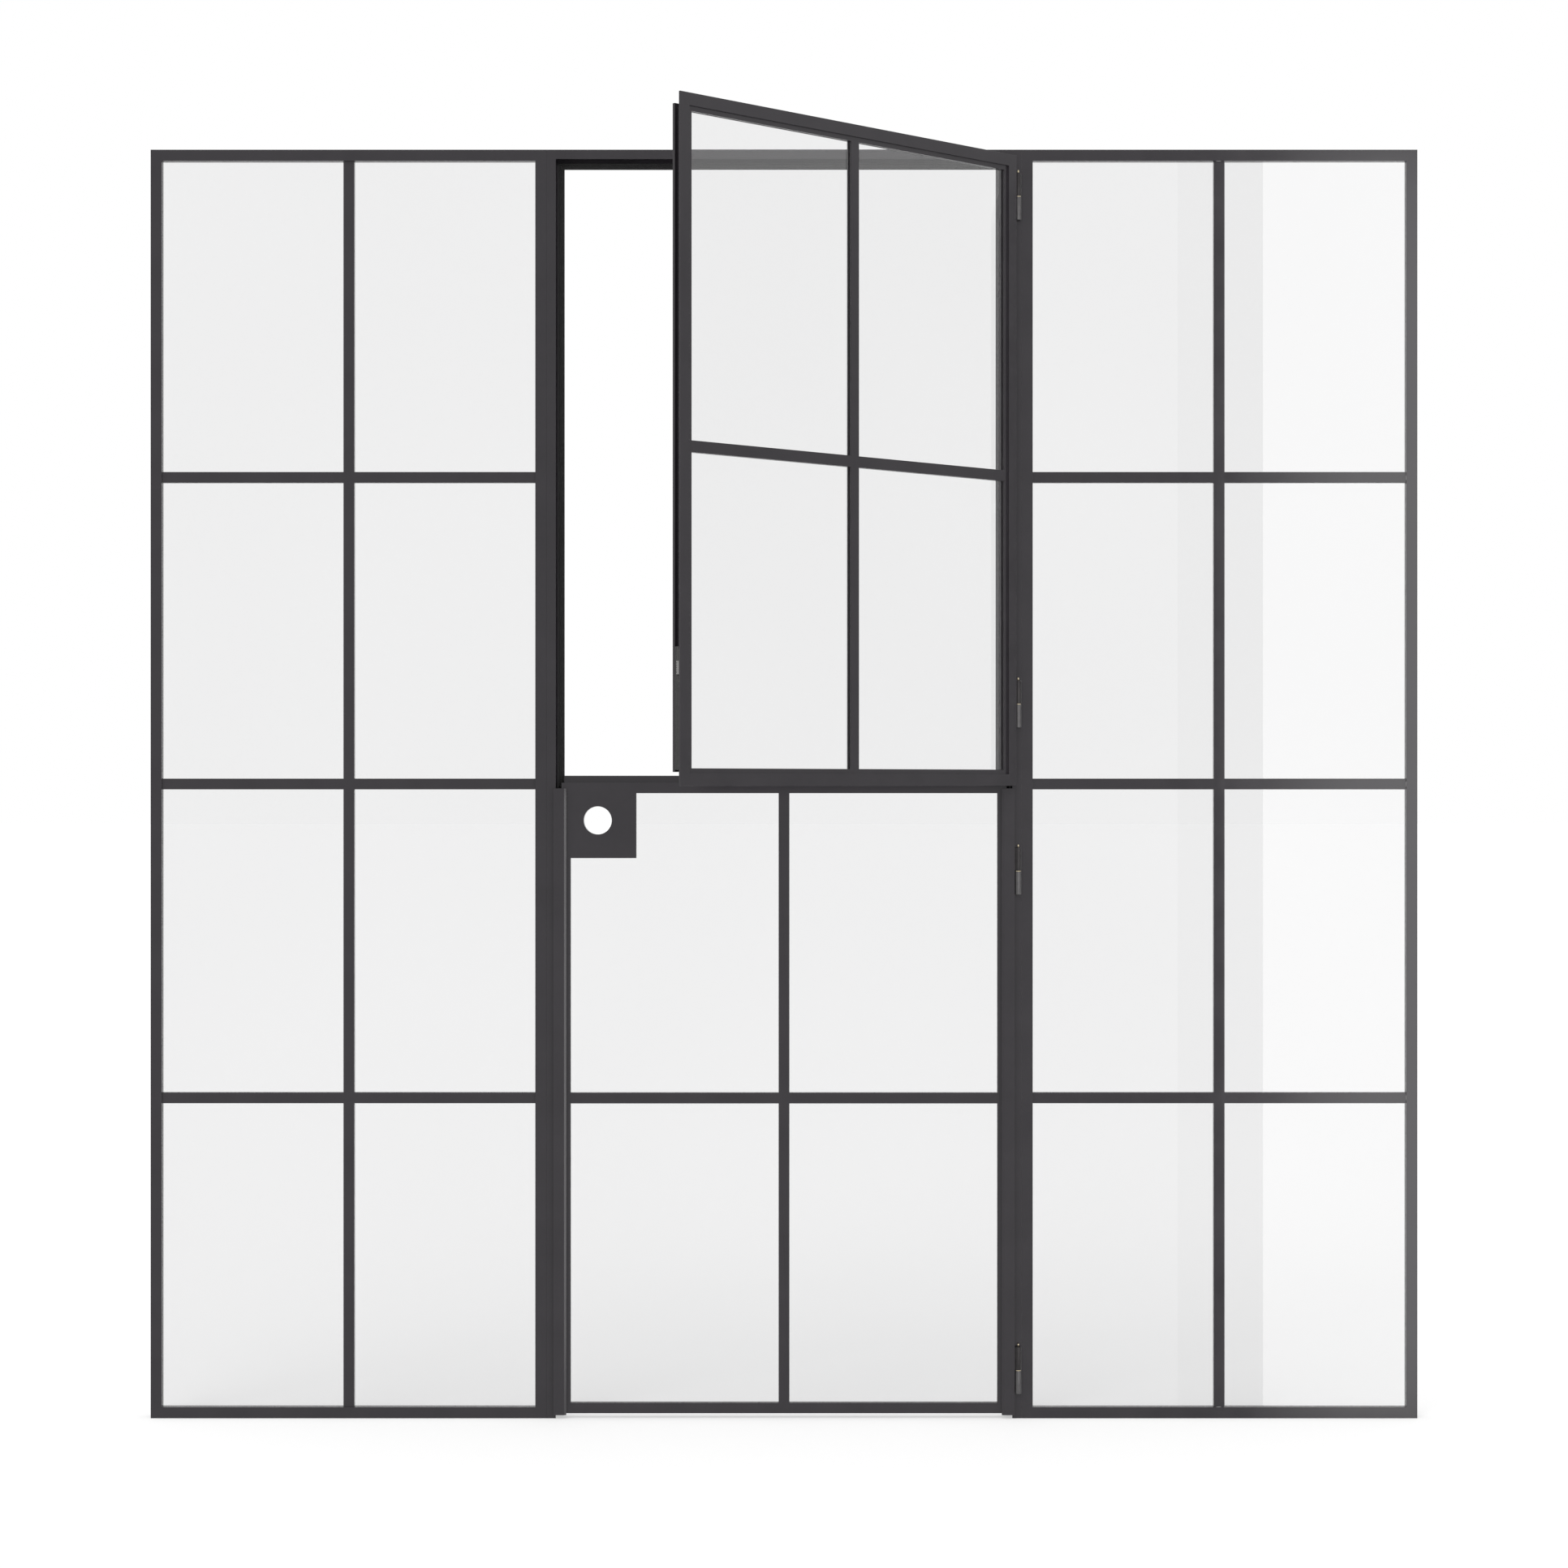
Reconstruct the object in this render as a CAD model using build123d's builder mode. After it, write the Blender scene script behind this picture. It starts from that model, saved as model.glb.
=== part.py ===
from build123d import *
import os

os.makedirs("parts", exist_ok=True)

# Overall sizes in millimetres: X across the door, Y away from the viewer, Z up from the floor
overall_height = 2442.0
centre_width = 914.4
side_width = 762.0
frame_depth = 37.5
upper_leaf_angle = 45.0

# Clearances
running_gap = 5.0
pin_gap = 0.05
knuckle_float = 0.1
pane_edge_gap = 1.0
bolt_side_gap = 0.2
keeper_gap = 0.6

# Channel of the centre frame
front_leg = 17.9
back_leg = 32.9
jamb_wall = 4.0
seal_height = 1.5
seal_base = 0.6
seal_rib = 1.5
seal_pitch = 3.1
seal_ribs = 4
seal_margin = 1.1

# Glazing, the same in the leaves and the side panels
glass_thickness = 6.0
rebate = 7.0
bead_depth = 5.0
bead_slope = 1.5
bar_width = 20.8
bar_depth = 6.4

# Side panels
panel_face = 21.6
panel_bar_setback = 4.5
low_bar_height = 616.4
middle_bar_height = 1221.0
high_bar_height = 1811.6

# Section of the leaves
lip_lap = 4.3
lip_thickness = 3.9
flange_lap = 4.1
flange_thickness = 5.6
sight_inset = 32.9
upper_lip_width = 22.2
upper_channel = 21.9
upper_bar_setback = 4.1
upper_bar_depth = 4.4
upper_sight_inset = 31.0
lip_weld = 3.0
lower_lip_width = 20.8
lower_channel = 20.0
lower_slope = 4.1

# Meeting rails and the foot of the lower leaf
meeting_height = 1223.3
meeting_lap = 5.8
upstand_height = 13.7
meeting_rail_height = 20.0
lip_foot_gap = 7.5
leaf_foot_gap = 9.7
foot_rail_height = 20.4

# Lock box
lock_box_width = 126.4
lock_box_height = 125.0
bore_diameter = 54.0
bore_backset = 69.85
bore_drop = 52.4

# Hinges
barrel_radius = 5.5
barrel_standoff = 1.5
barrel_half = 44.25
washer_thickness = 1.5
pin_radius = 3.0
pin_socket = 20.0
tip_radius = 1.9
tip_height = 6.2
barrel_chamfer = 0.8
weld_width = 4.0
top_hinge_drop = 91.6
upper_hinge_rise = 151.3
lower_hinge_drop = 169.7
foot_hinge_height = 93.8

# Flush bolt in the free edge of the upper leaf
plate_rise = 3.8
plate_length = 216.0
plate_thickness = 2.5
slot_width = 14.8
slot_length = 61.0
slot_margin = 1.0
bolt_bar_width = 14.0
bolt_tip_width = 8.0
thumb_drop = 24.5
thumb_length = 23.4
thumb_proud = 2.5
thumb_grooves = 5
groove_width = 1.6
groove_depth = 1.0
groove_pitch = 4.0
keeper_depth = 13.0

# Places worked out from the sizes above
front = -frame_depth / 2
half_centre = centre_width / 2
door_x = side_width + half_centre
overall_width = 2 * side_width + centre_width
lip_edge = half_centre - front_leg + lip_lap
flange_edge = half_centre - back_leg + flange_lap
flange_inset = lip_edge - flange_edge
lip_back = -running_gap
lip_front = lip_back - lip_thickness
leaf_back = frame_depth - jamb_wall - seal_height - running_gap
sight_x = lip_edge - sight_inset
upper_sight_x = lip_edge - upper_sight_inset
stem_width = bar_width - 2 * rebate
hinge_x = (lip_edge + half_centre) / 2
hinge_depth = -(barrel_radius + barrel_standoff)
upper_bar_front = lip_front + upper_bar_setback
upper_glass = upper_bar_front + upper_bar_depth
lower_glass = bar_depth
panel_glass = panel_bar_setback + bar_depth
upper_lip_top = overall_height - front_leg + lip_lap
upper_lip_foot = meeting_height - meeting_lap
lower_lip_top = upper_lip_foot - running_gap
upstand_top = meeting_height + upstand_height
upper_foot = upstand_top + running_gap
upper_sight_low = upper_lip_foot + upper_sight_inset
upper_sight_high = upper_lip_top - upper_sight_inset
upper_web = upper_sight_inset - rebate - upper_channel
upper_foot_rebate = upper_sight_low - upper_foot - upper_web
foot_lip_top = upper_lip_foot + upper_lip_width
lower_sight_low = leaf_foot_gap + foot_rail_height
lower_sight_high = meeting_height - meeting_rail_height
lower_hinge_heights = [foot_hinge_height, meeting_height - lower_hinge_drop]
upper_hinge_heights = [meeting_height + upper_hinge_rise, overall_height - top_hinge_drop]

# The centre unit is drawn from its own middle, back from the face of its frame
door = Location((door_x, front, 0))
axis = Location((hinge_x, hinge_depth, 0))
lower_leaf = door
upper_leaf = door * axis * Location((0, 0, 0), (0, 0, upper_leaf_angle)) * axis.inverse()


def level(place, height):
    return Plane(place * Location((0, 0, height)))


def crosswise(place, x):
    return Plane(place * Plane(origin=(x, 0, 0), x_dir=(0, 1, 0), z_dir=(1, 0, 0)).location)


def facing(place, depth):
    return Plane(place * Plane(origin=(0, depth, 0), x_dir=(1, 0, 0), z_dir=(0, -1, 0)).location)


def mitre(place, x, inward, height, upward):
    lean = Plane(origin=(x, 0, height), x_dir=(0, 1, 0), z_dir=(inward, 0, upward))
    return Plane(place * lean.location)


def post(place, section, x, inward, low, high):
    with BuildSketch(level(place, low)) as cut:
        with BuildLine():
            Polyline(*[(x + inward * inset, depth) for inset, depth in section], close=True)
        make_face()
    extrude(cut.sketch, amount=high - low)


def rail(place, section, height, inward, left, right):
    with BuildSketch(crosswise(place, left)) as cut:
        with BuildLine():
            Polyline(*[(depth, height + inward * inset) for inset, depth in section], close=True)
        make_face()
    extrude(cut.sketch, amount=right - left)


def block(place, x, depth, height, mode=Mode.ADD):
    with BuildSketch(level(place, height[0])) as cut:
        with Locations(((x[0] + x[1]) / 2, (depth[0] + depth[1]) / 2)):
            Rectangle(x[1] - x[0], depth[1] - depth[0])
    extrude(cut.sketch, amount=height[1] - height[0], mode=mode)


def rod(place, x, depth, height, radius, mode=Mode.ADD):
    with BuildSketch(level(place, height[0])) as cut:
        with Locations((x, depth)):
            Circle(radius)
    extrude(cut.sketch, amount=height[1] - height[0], mode=mode)


def turned(place, x, depth, outline, mode=Mode.ADD):
    side = facing(place, depth)
    with BuildSketch(side) as half:
        with BuildLine():
            Polyline(*[(x + radius, height) for radius, height in outline], close=True)
        make_face()
    middle = Axis(side.from_local_coords((x, 0, 0)), side.y_dir)
    revolve(half.sketch, axis=middle, mode=mode)


def upright_bar(place, x, bar_front, glass, low, high, low_tenon, high_tenon):
    stem = stem_width / 2
    back = glass + glass_thickness + bead_depth
    block(place, (x - bar_width / 2, x + bar_width / 2), (bar_front, glass), (low, high))
    block(place, (x - stem, x + stem), (glass, back), (low - low_tenon, high + high_tenon))


def cross_bar(place, height, bar_front, glass, left, right):
    half = bar_width / 2
    stem = stem_width / 2
    back = glass + glass_thickness + bead_depth
    block(place, (left, right), (bar_front, glass), (height - half, height + half))
    block(place, (left - rebate, right + rebate), (glass, back), (height - stem, height + stem))


def lite_shape(lite, grow, low_grow, notch):
    left, right, low, high = lite
    with BuildSketch() as shape:
        with Locations(((left + right) / 2, (low + high + grow - low_grow) / 2)):
            Rectangle(right - left + 2 * grow, high - low + grow + low_grow)
        if notch:
            with Locations((notch[0] - grow, notch[1] + grow)):
                Rectangle(right - left, high - low, align=(Align.MAX, Align.MIN), mode=Mode.SUBTRACT)
    return shape.sketch


def pane(place, lite, glass, low_rebate=rebate, notch=None):
    with BuildSketch(facing(place, glass + glass_thickness)) as cut:
        add(lite_shape(lite, rebate - pane_edge_gap, low_rebate - pane_edge_gap, notch))
    extrude(cut.sketch, amount=glass_thickness)


def bead(place, lite, glass, low_rebate=rebate, notch=None):
    with BuildSketch(facing(place, glass + glass_thickness + bead_depth)) as ring:
        add(lite_shape(lite, rebate, low_rebate, notch))
        add(lite_shape(lite, 0, 0, notch), mode=Mode.SUBTRACT)
    extrude(ring.sketch, amount=bead_depth)
    with BuildSketch(facing(place, glass + glass_thickness + bead_depth)) as mouth:
        add(lite_shape(lite, bead_slope, bead_slope, notch))
    extrude(mouth.sketch, amount=bead_slope, taper=45, mode=Mode.SUBTRACT)


def lites(xs, heights):
    half = bar_width / 2
    columns = [(xs[i] + half * (i > 0), xs[i + 1] - half * (i < len(xs) - 2)) for i in range(len(xs) - 1)]
    last = len(heights) - 2
    rows = [(heights[i] + half * (i > 0), heights[i + 1] - half * (i < last)) for i in range(last + 1)]
    return [(*column, *row) for row in rows for column in columns]


# Side panels: a mitred steel frame, tee bars, one pane and one bead to a lite
panel_section = [
    (0, 0),
    (panel_face, 0),
    (panel_face, panel_glass),
    (panel_face - rebate, panel_glass),
    (panel_face - rebate, frame_depth),
    (0, frame_depth),
]
panel_bars = [low_bar_height, middle_bar_height, high_bar_height]
wall = Location((0, front, 0))

for side, outer_x, inward in (("left", 0, 1), ("right", overall_width, -1)):
    inner_x = outer_x + inward * side_width
    middle_x = (outer_x + inner_x) / 2
    left = min(outer_x, inner_x) + panel_face
    right = max(outer_x, inner_x) - panel_face
    low = panel_face
    high = overall_height - panel_face

    for name, x, turn in (("outer", outer_x, inward), ("inner", inner_x, -inward)):
        with BuildPart() as panel_stile:
            post(wall, panel_section, x, turn, 0, overall_height)
            split(bisect_by=mitre(wall, x, turn, overall_height, 1), keep=Keep.BOTTOM)
            split(bisect_by=mitre(wall, x, turn, 0, -1), keep=Keep.BOTTOM)
        panel_stile.part.label = f"{side}_{name}_stile"
        export_step(panel_stile.part, f"parts/{side}_{name}_stile.step")

    for name, height, turn in (("top", overall_height, -1), ("bottom", 0, 1)):
        with BuildPart() as panel_rail:
            rail(wall, panel_section, height, turn, left - panel_face, right + panel_face)
            split(bisect_by=mitre(wall, left - panel_face, 1, height, -turn), keep=Keep.TOP)
            split(bisect_by=mitre(wall, right + panel_face, -1, height, -turn), keep=Keep.TOP)
        panel_rail.part.label = f"{side}_{name}_rail"
        export_step(panel_rail.part, f"parts/{side}_{name}_rail.step")

    with BuildPart() as panel_upright:
        upright_bar(wall, middle_x, panel_bar_setback, panel_glass, low, high, rebate, rebate)
    panel_upright.part.label = f"{side}_upright_bar"
    export_step(panel_upright.part, f"parts/{side}_upright_bar.step")

    with BuildPart() as panel_cross_bars:
        for height in panel_bars:
            cross_bar(wall, height, panel_bar_setback, panel_glass, left, middle_x - bar_width / 2)
            cross_bar(wall, height, panel_bar_setback, panel_glass, middle_x + bar_width / 2, right)
    panel_cross_bars.part.label = f"{side}_cross_bars"
    export_step(panel_cross_bars.part, f"parts/{side}_cross_bars.step")

    panel_lites = lites([left, middle_x, right], [low, *panel_bars, high])
    with BuildPart() as panel_glazing:
        for lite in panel_lites:
            pane(wall, lite, panel_glass)
    panel_glazing.part.label = f"{side}_glass"
    export_step(panel_glazing.part, f"parts/{side}_glass.step")

    with BuildPart() as panel_beads:
        for lite in panel_lites:
            bead(wall, lite, panel_glass)
    panel_beads.part.label = f"{side}_beads"
    export_step(panel_beads.part, f"parts/{side}_beads.step")

# Centre frame: two jambs and a head, a channel open towards the leaves, with no sill
jamb_section = [
    (0, 0),
    (front_leg, 0),
    (front_leg, jamb_wall),
    (jamb_wall, jamb_wall),
    (jamb_wall, frame_depth - jamb_wall),
    (back_leg, frame_depth - jamb_wall),
    (back_leg, frame_depth),
    (0, frame_depth),
]
with BuildPart() as lock_jamb:
    post(door, jamb_section, -half_centre, 1, 0, overall_height)
    split(bisect_by=mitre(door, -half_centre, 1, overall_height, 1), keep=Keep.BOTTOM)
lock_jamb.part.label = "lock_jamb"
export_step(lock_jamb.part, "parts/lock_jamb.step")

with BuildPart() as hinge_jamb:
    post(door, jamb_section, half_centre, -1, 0, overall_height)
    split(bisect_by=mitre(door, half_centre, -1, overall_height, 1), keep=Keep.BOTTOM)
hinge_jamb.part.label = "hinge_jamb"
export_step(hinge_jamb.part, "parts/hinge_jamb.step")

with BuildPart() as head:
    rail(door, jamb_section, overall_height, -1, -half_centre, half_centre)
    split(bisect_by=mitre(door, -half_centre, 1, overall_height, 1), keep=Keep.TOP)
    split(bisect_by=mitre(door, half_centre, -1, overall_height, 1), keep=Keep.TOP)
head.part.label = "head"
export_step(head.part, "parts/head.step")

# Ribbed seal on the inside of the back legs
seal_seat = frame_depth - jamb_wall
seal_far = back_leg - seal_margin
seal_near = seal_far - seal_rib - (seal_ribs - 1) * seal_pitch
seal_section = [(seal_far, seal_seat), (seal_near, seal_seat)]
for rib in range(seal_ribs):
    near = seal_near + rib * seal_pitch
    seal_section += [(near, seal_seat - seal_height), (near + seal_rib, seal_seat - seal_height)]
    if rib < seal_ribs - 1:
        seal_section += [(near + seal_rib, seal_seat - seal_base)]
        seal_section += [(near + seal_pitch, seal_seat - seal_base)]
with BuildPart() as seal:
    rail(door, seal_section, overall_height, -1, -half_centre, half_centre)
    for x, inward in ((-half_centre, 1), (half_centre, -1)):
        split(bisect_by=mitre(door, x, inward, overall_height, 1), keep=Keep.TOP)
    for x, inward in ((-half_centre, 1), (half_centre, -1)):
        with BuildPart() as upright_seal:
            post(door, seal_section, x, inward, 0, overall_height)
            split(bisect_by=mitre(door, x, inward, overall_height, 1), keep=Keep.BOTTOM)
seal.part.label = "frame_seal"
export_step(seal.part, "parts/frame_seal.step")

# Hinges: the lower half of each is welded to the jamb, the upper half to the lip of its leaf
all_hinge_heights = lower_hinge_heights + upper_hinge_heights
with BuildPart() as frame_hinges:
    for height in all_hinge_heights:
        half_top = height - washer_thickness / 2
        span = (half_top - barrel_half, half_top)
        weld = (hinge_x - weld_width / 2, hinge_x + weld_width / 2)
        barrel = [
            (0, span[0]),
            (barrel_radius - barrel_chamfer, span[0]),
            (barrel_radius, span[0] + barrel_chamfer),
            (barrel_radius, span[1]),
            (0, span[1]),
        ]
        turned(door, hinge_x, hinge_depth, barrel)
        block(door, weld, (hinge_depth, 0), (span[0] + barrel_chamfer, span[1]))
        rod(door, hinge_x, hinge_depth, (half_top - pin_socket, half_top), pin_radius + pin_gap, Mode.SUBTRACT)
frame_hinges.part.label = "frame_hinge_halves"
export_step(frame_hinges.part, "parts/frame_hinge_halves.step")

with BuildPart() as washers:
    for height in all_hinge_heights:
        span = (height - washer_thickness / 2, height + washer_thickness / 2)
        rod(door, hinge_x, hinge_depth, span, barrel_radius)
        rod(door, hinge_x, hinge_depth, span, pin_radius + pin_gap, Mode.SUBTRACT)
washers.part.label = "hinge_washers"
export_step(washers.part, "parts/hinge_washers.step")

with BuildPart() as pins:
    for height in all_hinge_heights:
        foot = height - washer_thickness / 2 - pin_socket
        knuckle_top = height + washer_thickness / 2 + knuckle_float + barrel_half
        shoulder = knuckle_top + tip_height - tip_radius
        rod(door, hinge_x, hinge_depth, (foot, knuckle_top), pin_radius)
        rod(door, hinge_x, hinge_depth, (knuckle_top, shoulder), tip_radius)
        with Locations(door * Location((hinge_x, hinge_depth, shoulder))):
            Sphere(tip_radius)
pins.part.label = "hinge_pins"
export_step(pins.part, "parts/hinge_pins.step")

for name, place, heights in (
    ("lower", lower_leaf, lower_hinge_heights),
    ("upper", upper_leaf, upper_hinge_heights),
):
    with BuildPart() as knuckles:
        for height in heights:
            foot = height + washer_thickness / 2 + knuckle_float
            span = (foot, foot + barrel_half)
            barrel = [
                (0, span[0]),
                (barrel_radius, span[0]),
                (barrel_radius, span[1] - barrel_chamfer),
                (barrel_radius - barrel_chamfer, span[1]),
                (0, span[1]),
            ]
            turned(place, hinge_x, hinge_depth, barrel)
            block(place, (lip_edge, hinge_x), (lip_front, lip_back), (span[0], span[1] - barrel_chamfer))
            rod(place, hinge_x, hinge_depth, span, pin_radius + pin_gap, Mode.SUBTRACT)
    knuckles.part.label = f"{name}_hinge_knuckles"
    export_step(knuckles.part, f"parts/{name}_hinge_knuckles.step")

# Lower leaf: a channel open outwards, its lip over the frame, the glass held from behind
lower_section = [
    (0, lip_front),
    (lower_lip_width, lip_front),
    (lower_lip_width + lower_slope, 0),
    (sight_inset, 0),
    (sight_inset, lower_glass),
    (sight_inset - rebate, lower_glass),
    (sight_inset - rebate, leaf_back),
    (flange_inset, leaf_back),
    (flange_inset, leaf_back - flange_thickness),
    (lower_channel, leaf_back - flange_thickness),
    (lower_channel, lip_back),
    (0, lip_back),
]
for name, x, inward in (("lock", -lip_edge, 1), ("hinge", lip_edge, -1)):
    with BuildPart() as lower_stile:
        post(lower_leaf, lower_section, x, inward, lip_foot_gap, lower_lip_top)
        across = sorted((x, x + inward * sight_inset))
        block(lower_leaf, across, (lip_back, leaf_back), (lip_foot_gap, leaf_foot_gap), Mode.SUBTRACT)
        block(lower_leaf, across, (0, leaf_back), (lower_sight_high, lower_lip_top), Mode.SUBTRACT)
    lower_stile.part.label = f"lower_{name}_stile"
    export_step(lower_stile.part, f"parts/lower_{name}_stile.step")

# The meeting rail covers the ends of the stiles and carries the upstand behind the upper leaf
channel_middle = (lip_back + leaf_back - flange_thickness) / 2
bolt_x = (flange_edge - plate_thickness + lip_edge - upper_channel) / 2
bolt_thickness = flange_edge - plate_thickness - lip_edge + upper_channel - 2 * bolt_side_gap
upstand_end = half_centre - back_leg
meeting_section = [
    (0, 0),
    (meeting_rail_height, 0),
    (meeting_rail_height, lower_glass),
    (meeting_rail_height - rebate, lower_glass),
    (meeting_rail_height - rebate, leaf_back),
    (0, leaf_back),
]
with BuildPart() as meeting_rail:
    rail(lower_leaf, meeting_section, meeting_height, -1, -flange_edge, flange_edge)
    for x, inward in ((-flange_edge, 1), (flange_edge, -1)):
        end = sorted((x, x + inward * (sight_inset - rebate - flange_inset)))
        block(lower_leaf, end, (0, leaf_back), (lower_sight_high, meeting_height))
    upstand = (meeting_height, upstand_top)
    block(lower_leaf, (-upstand_end, upstand_end), (leaf_back - flange_thickness, leaf_back), upstand)
    keeper_x = bolt_thickness / 2 + keeper_gap
    keeper_y = bolt_tip_width / 2 + keeper_gap
    across = (-bolt_x - keeper_x, -bolt_x + keeper_x)
    deep = (channel_middle - keeper_y, channel_middle + keeper_y)
    block(lower_leaf, across, deep, (meeting_height - keeper_depth, meeting_height), Mode.SUBTRACT)
meeting_rail.part.label = "lower_meeting_rail"
export_step(meeting_rail.part, "parts/lower_meeting_rail.step")

foot_section = [
    (0, 0),
    (foot_rail_height, 0),
    (foot_rail_height, lower_glass),
    (foot_rail_height - rebate, lower_glass),
    (foot_rail_height - rebate, leaf_back),
    (0, leaf_back),
]
with BuildPart() as foot_rail:
    rail(lower_leaf, foot_section, leaf_foot_gap, 1, -sight_x, sight_x)
    for x, inward in ((-sight_x, -1), (sight_x, 1)):
        end = sorted((x, x + inward * rebate))
        block(lower_leaf, end, (lower_glass, leaf_back), (leaf_foot_gap, lower_sight_low - rebate))
foot_rail.part.label = "lower_foot_rail"
export_step(foot_rail.part, "parts/lower_foot_rail.step")

with BuildPart() as lower_upright:
    upright_bar(lower_leaf, 0, 0, lower_glass, lower_sight_low, lower_sight_high, rebate, rebate)
lower_upright.part.label = "lower_upright_bar"
export_step(lower_upright.part, "parts/lower_upright_bar.step")

with BuildPart() as lower_cross_bars:
    cross_bar(lower_leaf, low_bar_height, 0, lower_glass, -sight_x, -bar_width / 2)
    cross_bar(lower_leaf, low_bar_height, 0, lower_glass, bar_width / 2, sight_x)
lower_cross_bars.part.label = "lower_cross_bars"
export_step(lower_cross_bars.part, "parts/lower_cross_bars.step")

# Lock box in the corner under the meeting rail, bored for a lockset
box_right = -sight_x + lock_box_width
box_low = lower_sight_high - lock_box_height
with BuildPart() as lock_box:
    block(lower_leaf, (-sight_x, box_right), (0, lower_glass), (box_low, lower_sight_high))
    core = (-sight_x - rebate, box_right - rebate)
    block(lower_leaf, core, (lower_glass, leaf_back), (box_low + rebate, lower_sight_high + rebate))
    with BuildSketch(facing(lower_leaf, leaf_back)) as bore:
        with Locations((bore_backset - flange_edge, lower_sight_high - bore_drop)):
            Circle(bore_diameter / 2)
    extrude(bore.sketch, amount=leaf_back, mode=Mode.SUBTRACT)
lock_box.part.label = "lock_box"
export_step(lock_box.part, "parts/lock_box.step")

lower_lites = lites([-sight_x, 0, sight_x], [lower_sight_low, low_bar_height, lower_sight_high])
notches = [None, None, (box_right, box_low), None]
with BuildPart() as lower_glazing:
    for lite, notch in zip(lower_lites, notches):
        pane(lower_leaf, lite, lower_glass, notch=notch)
lower_glazing.part.label = "lower_glass"
export_step(lower_glazing.part, "parts/lower_glass.step")

with BuildPart() as lower_beads:
    for lite, notch in zip(lower_lites, notches):
        bead(lower_leaf, lite, lower_glass, notch=notch)
lower_beads.part.label = "lower_beads"
export_step(lower_beads.part, "parts/lower_beads.step")

# Upper leaf: the same channel, its glazing stop set back from the lip, a weld behind the lip
upper_stop = [
    (upper_lip_width, lip_front),
    (upper_lip_width, upper_bar_front),
    (upper_sight_inset, upper_bar_front),
    (upper_sight_inset, upper_glass),
]
upper_lip = [
    (upper_channel, lip_back + lip_weld),
    (upper_channel - lip_weld, lip_back),
    (0, lip_back),
    (0, lip_front),
]
upper_section = [
    *upper_stop,
    (upper_sight_inset - rebate, upper_glass),
    (upper_sight_inset - rebate, leaf_back),
    (flange_inset, leaf_back),
    (flange_inset, leaf_back - flange_thickness),
    (upper_channel, leaf_back - flange_thickness),
    *upper_lip,
]
for name, x, inward in (("lock", -lip_edge, 1), ("hinge", lip_edge, -1)):
    with BuildPart() as upper_stile:
        post(upper_leaf, upper_section, x, inward, upper_lip_foot, upper_lip_top)
        split(bisect_by=mitre(upper_leaf, x, inward, upper_lip_top, 1), keep=Keep.BOTTOM)
        across = sorted((x, x + inward * upper_sight_inset))
        block(upper_leaf, across, (upper_glass, leaf_back), (upper_lip_foot, upper_foot), Mode.SUBTRACT)
        block(upper_leaf, across, (lip_back, upper_glass), (upper_lip_foot, foot_lip_top), Mode.SUBTRACT)
        across = sorted((x + inward * upper_lip_width, x + inward * upper_sight_inset))
        block(upper_leaf, across, (lip_front, lip_back), (upper_lip_foot, foot_lip_top), Mode.SUBTRACT)
    upper_stile.part.label = f"upper_{name}_stile"
    export_step(upper_stile.part, f"parts/upper_{name}_stile.step")

with BuildPart() as upper_top_rail:
    rail(upper_leaf, upper_section, upper_lip_top, -1, -lip_edge, lip_edge)
    split(bisect_by=mitre(upper_leaf, -lip_edge, 1, upper_lip_top, 1), keep=Keep.TOP)
    split(bisect_by=mitre(upper_leaf, lip_edge, -1, upper_lip_top, 1), keep=Keep.TOP)
upper_top_rail.part.label = "upper_top_rail"
export_step(upper_top_rail.part, "parts/upper_top_rail.step")

upper_foot_section = [
    *upper_stop,
    (upper_sight_inset - upper_foot_rebate, upper_glass),
    (upper_sight_inset - upper_foot_rebate, leaf_back),
    (upper_foot - upper_lip_foot, leaf_back),
    (upper_foot - upper_lip_foot, upper_glass),
    (upper_channel, upper_glass),
    *upper_lip,
]
with BuildPart() as upper_foot_rail:
    rail(upper_leaf, upper_foot_section, upper_lip_foot, 1, -upper_sight_x, upper_sight_x)
    inner_lip = lip_edge - upper_lip_width
    foot_lip = (upper_lip_foot, foot_lip_top)
    block(upper_leaf, (-inner_lip, -upper_sight_x), (lip_front, lip_back), foot_lip)
    block(upper_leaf, (upper_sight_x, inner_lip), (lip_front, lip_back), foot_lip)
upper_foot_rail.part.label = "upper_foot_rail"
export_step(upper_foot_rail.part, "parts/upper_foot_rail.step")

with BuildPart() as upper_upright:
    upright_bar(
        upper_leaf, 0, upper_bar_front, upper_glass,
        upper_sight_low, upper_sight_high, upper_foot_rebate, rebate,
    )
upper_upright.part.label = "upper_upright_bar"
export_step(upper_upright.part, "parts/upper_upright_bar.step")

with BuildPart() as upper_cross_bars:
    cross_bar(upper_leaf, high_bar_height, upper_bar_front, upper_glass, -upper_sight_x, -bar_width / 2)
    cross_bar(upper_leaf, high_bar_height, upper_bar_front, upper_glass, bar_width / 2, upper_sight_x)
upper_cross_bars.part.label = "upper_cross_bars"
export_step(upper_cross_bars.part, "parts/upper_cross_bars.step")

upper_lites = lites([-upper_sight_x, 0, upper_sight_x], [upper_sight_low, high_bar_height, upper_sight_high])
low_rebates = [upper_foot_rebate, upper_foot_rebate, rebate, rebate]
with BuildPart() as upper_glazing:
    for lite, low_rebate in zip(upper_lites, low_rebates):
        pane(upper_leaf, lite, upper_glass, low_rebate)
upper_glazing.part.label = "upper_glass"
export_step(upper_glazing.part, "parts/upper_glass.step")

with BuildPart() as upper_beads:
    for lite, low_rebate in zip(upper_lites, low_rebates):
        bead(upper_leaf, lite, upper_glass, low_rebate)
upper_beads.part.label = "upper_beads"
export_step(upper_beads.part, "parts/upper_beads.step")

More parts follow.
